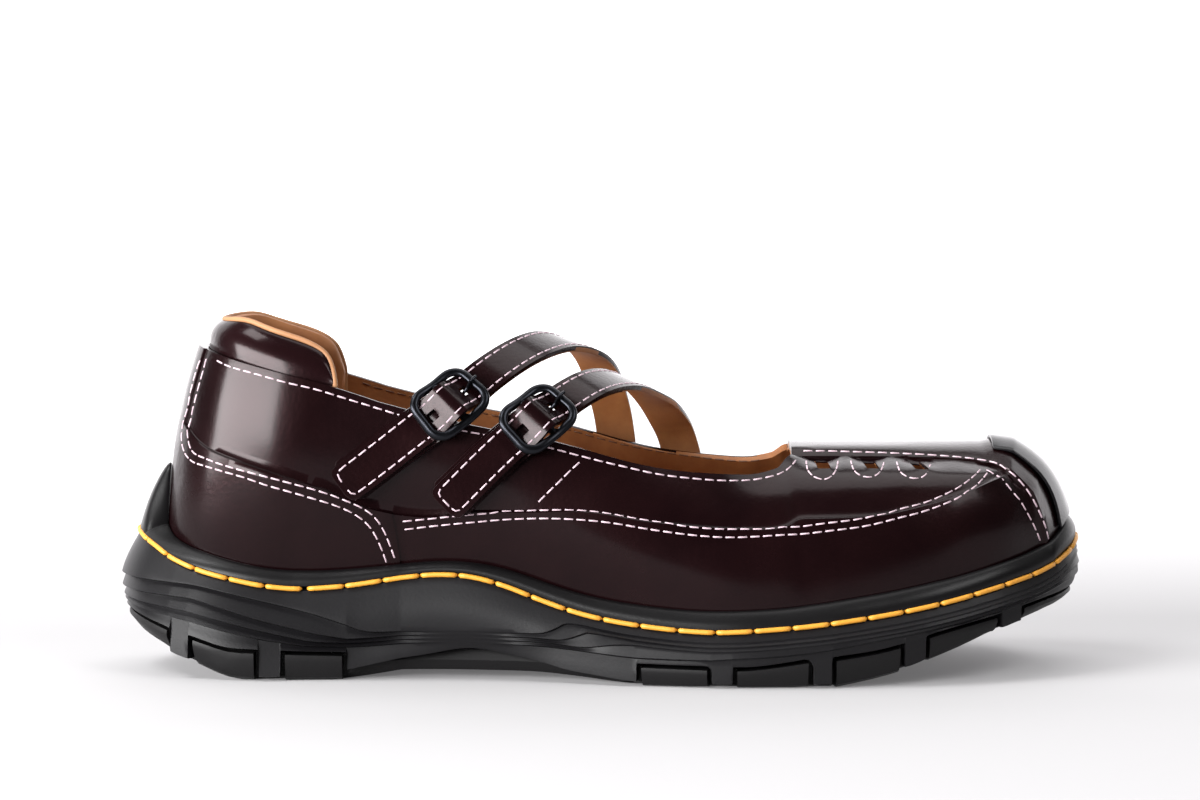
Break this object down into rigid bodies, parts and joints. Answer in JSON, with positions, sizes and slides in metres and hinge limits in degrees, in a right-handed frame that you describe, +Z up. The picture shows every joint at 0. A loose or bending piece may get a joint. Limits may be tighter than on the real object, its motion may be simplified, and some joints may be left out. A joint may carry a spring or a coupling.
{
  "type": "mary jane shoe",
  "caption": "Low leather mary jane shoe for the right foot, with crossing buckled straps over an open instep, cut-outs over the toe and a moulded rubber sole.",
  "frame": {"origin": "on the floor, under the middle of the shoe's length and width", "axes": "+X towards the toe, -Y towards the outer side of the foot, +Z up"},
  "size_m": [0.2748, 0.0978, 0.1001],
  "materials": {
    "upper_leather": "polished, dark oxblood",
    "strap_leather": "polished, dark oxblood",
    "pad_leather": "polished, padded",
    "insole_leather": "matt tan",
    "midsole_rubber": "matt black, moulded",
    "tread_rubber": "matt black, moulded",
    "rim_rubber": "satin black",
    "guard_rubber": "glossy black",
    "buckle_metal": "gunmetal, polished edges"
  },
  "bodies": {
    "root": {"upper": "upper_leather", "outsole": "tread_rubber", "midsole": "midsole_rubber", "welt": "rim_rubber", "insole": "insole_leather", "toe_guard": "guard_rubber", "heel_pad": "pad_leather", "strap_rear": "strap_leather", "strap_front": "strap_leather", "chape_rear": "strap_leather", "chape_front": "strap_leather", "buckle_rear": "buckle_metal", "buckle_front": "buckle_metal", "prong_rear": "buckle_metal", "prong_front": "buckle_metal"}
  },
  "joints": []
}
